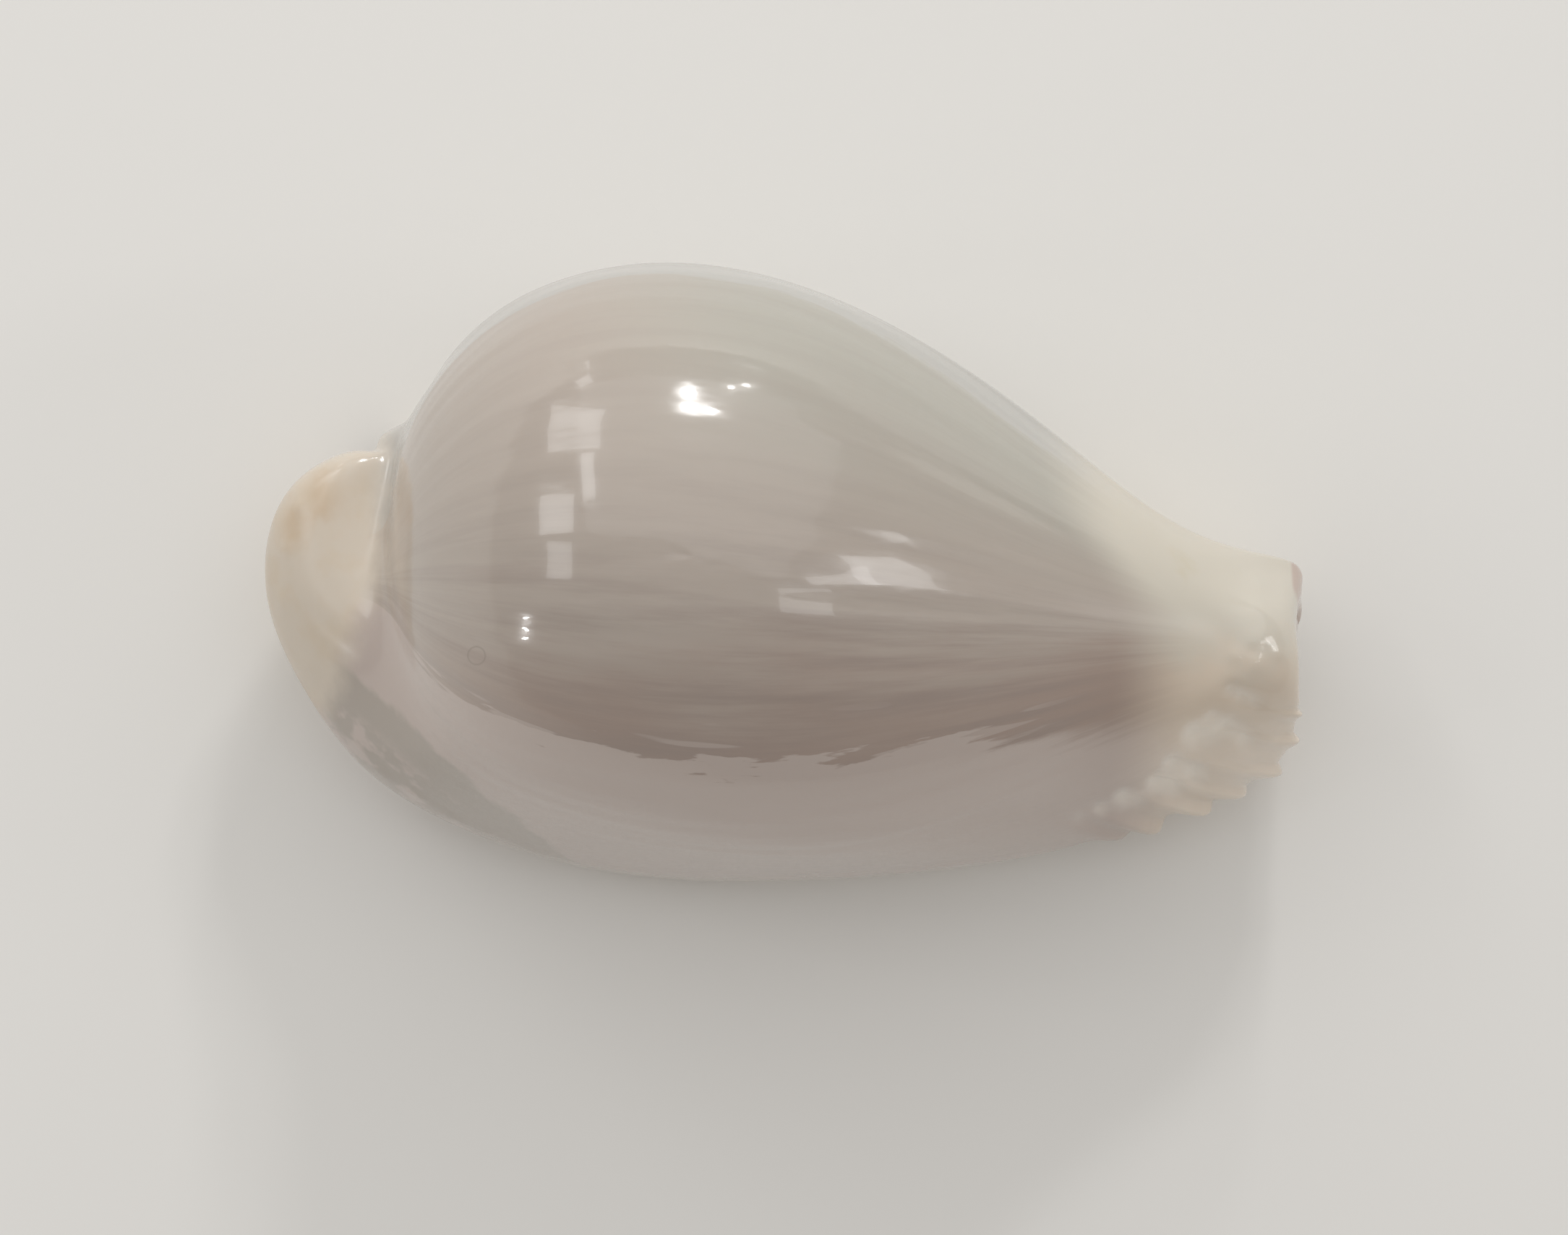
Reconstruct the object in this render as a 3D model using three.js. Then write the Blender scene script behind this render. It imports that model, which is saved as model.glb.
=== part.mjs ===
// A large white cowrie shell, lying on its base. One solid, hollow, open along the slit in its base.
// Millimetres. +X is the front (siphon) end, +Y the columella side, +Z the back of the shell.
import * as THREE from 'three';
import { ParametricGeometry } from 'three/addons/geometries/ParametricGeometry.js';
import { mergeVertices } from 'three/addons/utils/BufferGeometryUtils.js';

// Driving dimensions
const WALL = 2.2; // the body's wall
const EGG_MIDDLE = -8; // x of the body's crown
const EGG_REACH = 42.8; // half the body's length
const EGG_STRETCH = 14.5; // how far both ends are pulled to the front
const SLIT_LIP_DEPTH = 5; // how thick the lips beside the slit are
const FRONT_ARCH = 8.5; // the slit's mouth at the siphon end, lip to roof
const REAR_ARCH = 3.4; // the slit's mouth at the rear canal, lip to roof
const MOUTH_LEAN = 0.6; // how far the inner lip stands out of the front mouth, past the outer lip
const LEAN_FADE = 4; // how soon that ends along the slit, 1 for its whole length
const ARCH_STEPS = 1.6; // rim points from the middle of a mouth to its foot
const HOLLOW_REAR = 0.87; // the hollow's reach to the rear, as a part of the body's
const HOLLOW_FRONT = 0.88; // the hollow's reach to the siphon end, as a part of the body's
const HOLLOW_SQUARE = 0.72; // how full the hollow's floor is, 1 for an ellipse and less for squarer
const FLAT_MIDDLE = -2; // x of the middle of the flat part of the base
const FLAT_HALF = 20; // half the length of the flat part of the base
const BASE_SINK = -1.2; // the base is drawn this far under the table, then cut level with it
const BASE_CURVE = 0.0105; // how the base rises past the flat part
const UNDER_INSET = 1.9; // how far in from the rim the surface has turned halfway to the base
const TOOTH_FRONT = 0.09; // half the width of the outer lip's teeth, in rim points, to the front
const TOOTH_REAR = 0.19; // and to the rear
const TOOTH_ROOT = 0.4; // how far the lip draws in between the teeth

// The body, at equal steps from its rear end to its front end: half width, middle line, level of
// the widest line and rise of the back above it.
const BODY = [
  { half: 25.6, middle: 1.4, level: 16.0, rise: 21.5 },
  { half: 25.0, middle: 1.6, level: 18.5, rise: 24.0 },
  { half: 25.8, middle: 2.2, level: 20.2, rise: 27.0 },
  { half: 26.6, middle: 1.5, level: 20.2, rise: 27.8 },
  { half: 26.0, middle: -0.9, level: 18.6, rise: 25.2 },
  { half: 20.4, middle: -4.4, level: 15.8, rise: 18.2 },
  { half: 13.5, middle: -5.6, level: 13.0, rise: 13.0 },
];

// The rim, the widest line seen from above, once round from the siphon end by way of the outer lip.
// leave: how far down the body, in degrees from its crown, the surface turns away to the rim.
// crest: height of the surface above the rim, two thirds of the way out.
const RIM = [
  { at: [46.6, -7.4, 18.2], leave: 60, crest: 2.6 },
  { at: [46.7, -11.2, 16.4], leave: 60, crest: 3.6 },
  { at: [46.8, -14.4, 11.6], leave: 62, crest: 5.6 },
  { at: [44.8, -18.2, 8.6], leave: 66, crest: 6.4 },
  { at: [38.6, -21.4, 7.2], leave: 70, crest: 7.0 },
  { at: [30.4, -24.1, 6.4], leave: 74, crest: 7.8 },
  { at: [19.6, -26.5, 6.0], leave: 77, crest: 8.8 },
  { at: [6.6, -27.9, 6.0], leave: 78, crest: 9.4 },
  { at: [-7.0, -28.2, 6.2], leave: 78, crest: 9.4 },
  { at: [-19.6, -26.7, 6.8], leave: 78, crest: 8.8 },
  { at: [-30.4, -23.1, 7.8], leave: 75, crest: 7.8 },
  { at: [-38.4, -18.1, 9.0], leave: 74, crest: 7.2 },
  { at: [-43.6, -11.5, 10.4], leave: 75, crest: 6.4 },
  { at: [-47.1, -3.9, 12.0], leave: 78, crest: 6.3 },
  { at: [-47.4, 3.2, 13.2], leave: 83, crest: 5.6 },
  { at: [-45.0, 8.3, 14.0], leave: 88, crest: 4.8 },
  { at: [-41.2, 10.9, 14.4], leave: 91, crest: 3.4 },
  { at: [-38.8, 11.4, 13.8], leave: 92, crest: 2.6 },
  { at: [-37.6, 11.6, 12.0], leave: 92, crest: 3.6 },
  { at: [-37.0, 12.9, 10.8], leave: 90, crest: 3.6 },
  { at: [-34.9, 13.9, 10.4], leave: 86, crest: 4.4 },
  { at: [-33.4, 15.0, 13.0], leave: 82, crest: 4.4 },
  { at: [-30.8, 19.4, 17.6], leave: 78, crest: 3.4 },
  { at: [-24.0, 25.1, 20.0], leave: 77, crest: 3.0 },
  { at: [-12.6, 28.1, 20.8], leave: 76, crest: 3.0 },
  { at: [0.4, 26.4, 20.2], leave: 76, crest: 3.0 },
  { at: [13.0, 20.7, 18.6], leave: 76, crest: 2.8 },
  { at: [23.6, 13.5, 16.8], leave: 74, crest: 2.6 },
  { at: [32.4, 6.7, 14.8], leave: 70, crest: 2.6 },
  { at: [39.6, 2.9, 13.2], leave: 66, crest: 2.8 },
  { at: [45.3, 1.6, 11.6], leave: 62, crest: 3.4 },
  { at: [47.3, 0.1, 11.0], leave: 60, crest: 5.0 },
  { at: [46.5, -3.4, 16.2], leave: 60, crest: 3.8 },
];
const REAR_CANAL = 18; // the rim point at the rear canal's mouth; point 0 is at the front one's

// The outer lip's teeth: where they stand, in rim points from the siphon end, and how far out.
const TEETH = [
  { place: 1.51, reach: 0.55 },
  { place: 2.24, reach: 0.75 },
  { place: 2.97, reach: 1.05 },
  { place: 3.56, reach: 1.0 },
  { place: 4.02, reach: 1.2 },
  { place: 4.59, reach: 1.3 },
  { place: 4.95, reach: 0.85 },
];

// The slit's middle line along the base, front to rear: place, and half the gap there.
const SLIT = [
  { at: [46.4, -7.8, 6.6], gap: 1.5 },
  { at: [34.0, -9.2, 3.0], gap: 1.7 },
  { at: [16.0, -10.2, 1.6], gap: 1.6 },
  { at: [-2.0, -9.4, 1.4], gap: 1.4 },
  { at: [-18.0, -6.0, 1.8], gap: 1.4 },
  { at: [-30.0, 1.4, 3.0], gap: 1.4 },
  { at: [-37.2, 10.0, 4.6], gap: 1.3 },
];

// Steps of the surface
const STEPS = [
  { step: 0, place: 0 }, // rim point reached after so many steps: they lie closer at the teeth
  { step: 4, place: 1.2 },
  { step: 44, place: 5.4 },
  { step: 120, place: 33 },
];
const ROUND = STEPS.at(-1).step; // steps round the rim
const BODY_STEPS = 6; // control points down the body
const HOLLOW_STEPS = 5; // control points down the upper half of the hollow
const ROWS = 40; // rows of the surface, from the crown to under the crown

const mix = THREE.MathUtils.lerp;
const degrees = THREE.MathUtils.degToRad;

// The numbers at one place along a list of rows of numbers, on a smooth curve through all of them.
function smoothRow(rows, t, closed) {
  const count = rows.length;
  const place = closed ? t * count : t * (count - 1);
  const start = Math.floor(place);
  const f = place - start;
  const pick = (i) => rows[closed ? (i + count) % count : THREE.MathUtils.clamp(i, 0, count - 1)];
  const weights = [
    (1 - f) ** 3 / 6,
    (3 * f ** 3 - 6 * f ** 2 + 4) / 6,
    (-3 * f ** 3 + 3 * f ** 2 + 3 * f + 1) / 6,
    f ** 3 / 6,
  ];
  const row = pick(start).map(() => 0);
  weights.forEach((weight, k) => {
    pick(start + k - 1).forEach((value, column) => {
      row[column] += weight * value;
    });
  });
  return row;
}

// Moves the rows of a list out until the smooth curve passes through where they stood.
function fitted(rows, closed) {
  const span = closed ? rows.length : rows.length - 1;
  let moved = rows.map((row) => [...row]);
  for (let round = 0; round < 30; round += 1) {
    const reached = rows.map((row, i) => smoothRow(moved, i / span, closed));
    moved = moved.map((row, i) => row.map((value, k) => value + rows[i][k] - reached[i][k]));
  }
  return moved;
}

const bodyRows = fitted(BODY.map((rib) => [rib.half, rib.middle, rib.level, rib.rise]), false);
const rimRows = fitted(RIM.map((point) => [...point.at, point.leave, point.crest]), true);
const slitRows = fitted(SLIT.map((point) => [...point.at, point.gap]), false);

// A point of the body: a ball whose width, height and middle change along its length.
function bodyPoint(turn, fall) {
  const front = Math.sin(fall) * Math.cos(turn);
  const side = Math.sin(fall) * Math.sin(turn);
  const [half, middle, level, rise] = smoothRow(bodyRows, (front + 1) / 2, false);
  const x = EGG_MIDDLE + EGG_REACH * front + EGG_STRETCH * front ** 2;
  return new THREE.Vector3(x, middle + half * side, level + rise * Math.cos(fall));
}

// The turn about the body's crown in which a place lies, less an even turn for its rim point.
function turnPast([x, y], i) {
  const reached = EGG_REACH ** 2 + 4 * EGG_STRETCH * (x - EGG_MIDDLE);
  const front = (Math.sqrt(Math.max(reached, 0)) - EGG_REACH) / (2 * EGG_STRETCH);
  const along = THREE.MathUtils.clamp(front, -1, 1);
  const [half, middle] = smoothRow(bodyRows, (along + 1) / 2, false);
  const past = Math.atan2((y - middle) / half, along) + 2 * Math.PI * i / RIM.length;
  return Math.atan2(Math.sin(past), Math.cos(past));
}

// A closed list of numbers, each drawn halfway to the middle of its neighbours.
function evened(list) {
  const near = (i) => list[(i + list.length) % list.length];
  return list.map((value, i) => value / 2 + (near(i - 1) + near(i + 1)) / 4);
}

const straight = RIM.map((point, i) => turnPast(point.at, i));
const turns = evened(evened(evened(straight))).map((turn) => [turn]);

// A point of the hollow: the body drawn in by the wall, and shorter at the siphon end.
function hollowPoint(turn, fall) {
  const along = Math.sin(fall) * Math.cos(turn);
  const side = Math.sin(fall) * Math.sin(turn);
  const front = along * mix(HOLLOW_REAR, HOLLOW_FRONT, (along + 1) / 2);
  const [half, middle, level, rise] = smoothRow(bodyRows, (front + 1) / 2, false);
  const x = EGG_MIDDLE + EGG_REACH * front + EGG_STRETCH * front ** 2;
  return new THREE.Vector3(x, middle + (half - WALL) * side, level + (rise - WALL) * Math.cos(fall));
}

// The slit's edge at one place round the rim, the way into the shell from there, how far the base
// is lifted to the roof of a mouth, and how far it leans out of the front one.
function slitEdge(t) {
  const step = t * RIM.length;
  const outer = step <= REAR_CANAL;
  const length = outer ? REAR_CANAL : RIM.length - REAR_CANAL;
  const fromFront = outer ? step : RIM.length - step;
  const front = degrees(90) * Math.min(fromFront / ARCH_STEPS, 1);
  const rear = degrees(90) * Math.min((length - fromFront) / ARCH_STEPS, 1);
  const s = THREE.MathUtils.clamp((fromFront - ARCH_STEPS) / (length - 2 * ARCH_STEPS), 0, 1);
  const [x, y, z, gap] = smoothRow(slitRows, s, false);
  const ahead = smoothRow(slitRows, Math.min(s + 0.01, 1), false);
  const behind = smoothRow(slitRows, Math.max(s - 0.01, 0), false);
  const rearward = new THREE.Vector3(ahead[0] - behind[0], ahead[1] - behind[1], 0).normalize();
  const outward = new THREE.Vector3(-rearward.y, rearward.x, 0);
  const opening = (outer ? 1 : -1) * Math.sin(front) * Math.sin(rear);
  const roof = FRONT_ARCH * Math.cos(front) + REAR_ARCH * Math.cos(rear);
  const lift = Math.cos(front) ** 2 + Math.cos(rear) ** 2;
  const edge = new THREE.Vector3(x, y, z + roof).addScaledVector(outward, gap * opening);
  const lean = MOUTH_LEAN * Math.max(-opening, 0) * Math.max(1 - LEAN_FADE * s, 0);
  edge.x += lean;
  const arch = Math.max(Math.cos(front), Math.cos(rear));
  const rise = opening ** 2 * SLIT_LIP_DEPTH - roof * (1 - arch);
  const inward = new THREE.Vector3(0, 0, rise / SLIT_LIP_DEPTH);
  inward.addScaledVector(rearward, 0.4 * (Math.cos(front) - Math.cos(rear)));
  return { edge, inward, outward: outward.multiplyScalar(opening), lift, lean };
}

// The rim at one place, with the outer lip's teeth.
function rimPoint(t, place) {
  const step = t * RIM.length;
  const outward = new THREE.Vector3(place.x - 30, place.y + 8, 0).normalize();
  const start = THREE.MathUtils.smoothstep(step, 1.1, 1.7);
  let reach = -TOOTH_ROOT * start * (1 - THREE.MathUtils.smoothstep(step, 4.9, 5.6));
  for (const tooth of TEETH) {
    const past = step - tooth.place;
    reach += tooth.reach * Math.exp(-((past / (past < 0 ? TOOTH_FRONT : TOOTH_REAR)) ** 2));
  }
  return place.clone().addScaledVector(outward, reach);
}

// The inner points of a row, pushed out so that the smooth curve over them passes where they stood.
function pushedOut(points) {
  return points.slice(1, -1).map((point, i) => {
    const bend = points[i].clone().add(points[i + 2]).addScaledVector(point, -2);
    return point.clone().addScaledVector(bend, -1 / 6);
  });
}

// The control points of the surface at one place round the rim: from the crown over the body, the
// rim and the base, in through the slit, and round the hollow to under the crown.
function meridian(t) {
  const [x, y, z, leave, crest] = smoothRow(rimRows, t, true);
  const plain = new THREE.Vector3(x, y, z);
  const rim = rimPoint(t, plain);
  const even = -2 * Math.PI * t;
  const past = smoothRow(turns, t, true)[0];
  const back = [];
  for (let k = -2; k <= BODY_STEPS + 1; k += 1) {
    const down = k / BODY_STEPS;
    back.push(bodyPoint(even + past * down ** 2, degrees(leave * down)));
  }
  const points = pushedOut(back);
  const { edge, inward, outward, lift, lean } = slitEdge(t);
  const level = (at) => mix(Math.min(baseLevel(at), edge.z), edge.z, lift);
  const toSlit = edge.clone().sub(rim).setZ(0);
  const bulge = points.at(-1).clone().lerp(plain, 0.66).setZ(z + crest);
  const under = rim.clone().addScaledVector(toSlit, Math.min(UNDER_INSET / toSlit.length(), 0.16));
  under.z = mix(z, level(x), 0.48);
  const haunch = rim.clone().addScaledVector(toSlit, 0.25).setZ(mix(z, level(x), 0.84));
  const sole = rim.clone().addScaledVector(toSlit, 0.58);
  sole.z = level(sole.x);
  const lip = edge.clone().addScaledVector(toSlit, -Math.min(1.4 / toSlit.length(), 0.25));
  lip.z = mix(edge.z, sole.z, 0.7);
  under.x += lean * 0.5;
  haunch.x += lean;
  sole.x += lean;
  const corner = rim.clone().multiplyScalar(6).sub(bulge).sub(under).divideScalar(4);
  const throat = edge.clone().addScaledVector(inward, SLIT_LIP_DEPTH).addScaledVector(outward, 0.6);
  points.push(bulge, corner, under, haunch, sole, lip, edge, throat);
  const wall = hollowPoint(even + past, degrees(90));
  for (let k = 1; k <= 2; k += 1) {
    const angle = degrees(90 * (1 - k / 3));
    const spot = throat.clone().lerp(wall, Math.cos(angle) ** HOLLOW_SQUARE);
    spot.z = mix(wall.z, throat.z - 1.5 * (1 - lift), Math.sin(angle) ** HOLLOW_SQUARE);
    points.push(spot);
  }
  const roof = [];
  for (let k = HOLLOW_STEPS + 1; k >= -2; k -= 1) {
    const down = k / HOLLOW_STEPS;
    roof.push(hollowPoint(even + past * down ** 2, degrees(90 * down)));
  }
  return [...points, ...pushedOut(roof)];
}

// Height of the base, flat in the middle and rising to both ends.
function baseLevel(x) {
  const past = Math.max(Math.abs(x - FLAT_MIDDLE) - FLAT_HALF, 0);
  return BASE_SINK + past ** 2 * BASE_CURVE;
}

// A point of the surface, t round the rim and v from the crown (0) to under the crown (1).
function surfacePoint(t, v, target) {
  const points = meridian(t % 1).map((point) => point.toArray());
  const along = mix(1, points.length - 2, v) / (points.length - 1);
  target.fromArray(smoothRow(points, along, false));
  target.z = Math.max(target.z, 0);
}

// The point where all the meridians meet, at v = 0 or v = 1.
function crown(v) {
  const middle = new THREE.Vector3();
  const spot = new THREE.Vector3();
  for (let k = 0; k < ROUND; k += 1) {
    surfacePoint(k / ROUND, v, spot);
    middle.addScaledVector(spot, 1 / ROUND);
  }
  return middle;
}

// How far round the rim the surface is after a share of its steps, closer together at the teeth.
function stepped(share) {
  const step = share * ROUND;
  const next = STEPS.findIndex((stop, i) => i > 0 && step <= stop.step);
  const [from, to] = [STEPS[next - 1], STEPS[next]];
  const place = mix(from.place, to.place, (step - from.step) / (to.step - from.step));
  return place / RIM.length;
}

// Drops the triangles that have closed up at the two crowns.
function withoutSlivers(geometry) {
  const corners = geometry.getIndex().array;
  const kept = [];
  for (let i = 0; i < corners.length; i += 3) {
    const [a, b, c] = corners.slice(i, i + 3);
    if (a !== b && b !== c && c !== a) {
      kept.push(a, b, c);
    }
  }
  geometry.setIndex(kept);
  return geometry;
}

function makeShell() {
  const crowns = [crown(0), crown(1)];
  const point = (t, v, target) => {
    if (v === 0 || v === 1) {
      target.copy(crowns[v]);
    } else {
      surfacePoint(stepped(t), v, target);
    }
  };
  const surface = new ParametricGeometry(point, ROUND, ROWS);
  surface.deleteAttribute('normal');
  surface.deleteAttribute('uv');
  const geometry = withoutSlivers(mergeVertices(surface, 1e-3));
  geometry.computeVertexNormals();
  const enamel = new THREE.MeshStandardMaterial({ color: 0xcfc4ba, roughness: 0.12, metalness: 0 });
  const shell = new THREE.Mesh(geometry, enamel);
  shell.name = 'shell';
  return shell;
}

const cowrie = new THREE.Group();
cowrie.add(makeShell());

export default cowrie;
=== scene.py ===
"""A large white cowrie shell lying on its base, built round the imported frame. Metres, +Z up.

+X is the front (siphon) end, +Y the columella side. The shell's own sizes are in millimetres, and
its mesh is brought to metres when it is placed. The studio's sizes are in metres.
"""

import logging
import math
from collections.abc import Sequence
from dataclasses import dataclass, field
from enum import Enum
from functools import partial

import bmesh
import bpy
import numpy as np
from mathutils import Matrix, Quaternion, Vector


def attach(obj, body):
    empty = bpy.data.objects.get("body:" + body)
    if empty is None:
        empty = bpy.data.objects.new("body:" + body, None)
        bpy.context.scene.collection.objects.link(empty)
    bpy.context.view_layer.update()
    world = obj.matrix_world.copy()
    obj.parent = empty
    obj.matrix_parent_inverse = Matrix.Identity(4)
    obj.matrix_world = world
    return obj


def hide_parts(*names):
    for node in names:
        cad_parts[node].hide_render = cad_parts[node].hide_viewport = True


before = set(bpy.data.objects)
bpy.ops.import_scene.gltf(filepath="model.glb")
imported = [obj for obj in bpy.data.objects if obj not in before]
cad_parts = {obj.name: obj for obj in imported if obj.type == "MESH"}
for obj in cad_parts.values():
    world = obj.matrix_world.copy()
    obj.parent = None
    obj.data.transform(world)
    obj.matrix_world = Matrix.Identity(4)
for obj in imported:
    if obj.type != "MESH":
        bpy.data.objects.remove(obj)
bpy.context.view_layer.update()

log = logging.getLogger("cowrie")

MM = 0.001
CALLUS = "callus"  # the mesh's own map of how thick the callus of the knobs is

# Growth runs about the line between the spire and the siphon canal: how far it lies to the outer
# lip's side, how high it lies, and how it turns aside from +X.
AXIS_ASIDE = 2.95
AXIS_UP = 17.0
AXIS_SLOPE = 0.0693

Span = tuple[float, float]
Row = tuple[float, ...]
Rows = tuple[Row, ...]
Socket = bpy.types.NodeSocket
Input = float | Row | Socket
Layers = list[tuple[Socket, Input]]


def linear(hex_colour: str) -> tuple[float, float, float, float]:
    """Turns an sRGB hex colour into the linear colour that the shader takes.

    Args:
        hex_colour: six hex digits, red first.

    Returns:
        Linear red, green and blue, and an alpha of 1.
    """
    parts = [int(hex_colour[i : i + 2], 16) / 255 for i in (0, 2, 4)]
    made = [c / 12.92 if c <= 0.04045 else ((c + 0.055) / 1.055) ** 2.4 for c in parts]
    return (*made, 1.0)


def metres(sizes: Row) -> Row:
    """Brings sizes in millimetres to metres."""
    return tuple(size * MM for size in sizes)


def smoothly(value: np.ndarray, low: float, high: float) -> np.ndarray:
    """Rises from 0 at low to 1 at high with no corner, or falls where low is the larger."""
    part = np.clip((value - low) / (high - low), 0, 1)
    return part * part * (3 - 2 * part)


def within(value: np.ndarray, limits: Row) -> np.ndarray:
    """Rises from 0 to 1 over the first two of four limits and falls to 0 over the last two."""
    return smoothly(value, limits[0], limits[1]) * smoothly(value, limits[3], limits[2])


def bump_at(value: np.ndarray, middle: float, width: float | np.ndarray) -> np.ndarray:
    """A soft hump of height 1 at middle, about twice width across."""
    return np.exp(-(((value - middle) / width) ** 2))


def spline_weights(part: np.ndarray) -> tuple[np.ndarray, ...]:
    """Weights of the four points about each place on a uniform cubic B-spline.

    Args:
        part: how far each place is from the second point to the third.

    Returns:
        The weight of each of the four points.
    """
    return (
        (1 - part) ** 3 / 6,
        (3 * part**3 - 6 * part**2 + 4) / 6,
        (-3 * part**3 + 3 * part**2 + 3 * part + 1) / 6,
        part**3 / 6,
    )


class Curve:
    """A smooth curve through rows of numbers, a uniform cubic B-spline moved out to meet them."""

    ROUNDS = 30

    def __init__(self, rows: Rows, closed: bool) -> None:
        """Fits the curve.

        Args:
            rows: the rows that the curve goes through.
            closed: True if the last row leads back to the first.
        """
        self.closed = closed
        wanted = np.array(rows, dtype=float)
        self.rows = wanted.copy()
        for _ in range(self.ROUNDS):
            self.rows = self.rows + wanted - self.at(np.arange(len(wanted)))

    def at(self, place: np.ndarray) -> np.ndarray:
        """Reads the curve.

        Args:
            place: where on the curve, counted in rows from the first.

        Returns:
            One row of numbers for each place.
        """
        start = np.floor(place).astype(int)
        count = len(self.rows)
        total = 0.0
        for step, weight in enumerate(spline_weights((place - start)[..., None])):
            index = start + step - 1
            index = index % count if self.closed else np.clip(index, 0, count - 1)
            total = total + weight * self.rows[index]
        return total


@dataclass
class Body:
    """The egg-shaped body: a ball whose width, height and middle change along its length."""

    # At equal steps from the rear end: half width, middle line, level of the widest line, rise.
    ribs: Rows = (
        (25.6, 1.4, 16.0, 21.5),
        (25.0, 1.6, 18.5, 24.0),
        (25.8, 2.2, 20.2, 27.0),
        (26.6, 1.5, 20.2, 27.8),
        (26.0, -0.9, 18.6, 25.2),
        (20.4, -4.4, 15.8, 18.2),
        (13.5, -5.6, 13.0, 13.0),
    )
    # The middle and half of its length, how far both its ends are drawn ahead, and the wall.
    middle: float = -8.0
    reach: float = 42.8
    stretch: float = 14.5
    wall: float = 2.2
    # How far the hollow reaches to each end, as a share of the body's own reach.
    hollow_rear: float = 0.87
    hollow_front: float = 0.88
    curve: Curve = field(init=False)

    def __post_init__(self) -> None:
        """Fits the curve through the ribs."""
        self.curve = Curve(self.ribs, closed=False)

    def ribs_at(self, front: np.ndarray) -> np.ndarray:
        """Reads the ribs at a share of the half length, -1 at the rear and 1 at the front."""
        return self.curve.at((front + 1) / 2 * (len(self.ribs) - 1))

    def point(self, turn: np.ndarray, fall: np.ndarray, inside: bool = False) -> np.ndarray:
        """A point of the body, or of the hollow inside it.

        Args:
            turn: angle about the crown, 0 to the front.
            fall: angle down from the crown.
            inside: True for the hollow's wall.

        Returns:
            Places, with x, y and z last.
        """
        along = np.sin(fall) * np.cos(turn)
        side = np.sin(fall) * np.sin(turn)
        front = along
        if inside:
            share = (along + 1) / 2
            front = along * (self.hollow_rear * (1 - share) + self.hollow_front * share)
        half, middle, level, rise = np.moveaxis(self.ribs_at(front), -1, 0)
        wall = self.wall if inside else 0.0
        x = self.middle + self.reach * front + self.stretch * front**2
        y = middle + (half - wall) * side
        return np.stack([x, y, level + (rise - wall) * np.cos(fall)], -1)

    def turn_of(self, x: np.ndarray, y: np.ndarray) -> np.ndarray:
        """Finds the turn about the crown in which places seen from above lie.

        Args:
            x: the places along the shell.
            y: the places across it.

        Returns:
            The turns, 0 to the front.
        """
        reached = np.maximum(self.reach**2 + 4 * self.stretch * (x - self.middle), 0)
        front = np.clip((np.sqrt(reached) - self.reach) / (2 * self.stretch), -1, 1)
        half, middle = np.moveaxis(self.ribs_at(front), -1, 0)[:2]
        return np.arctan2((y - middle) / half, front)


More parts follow.
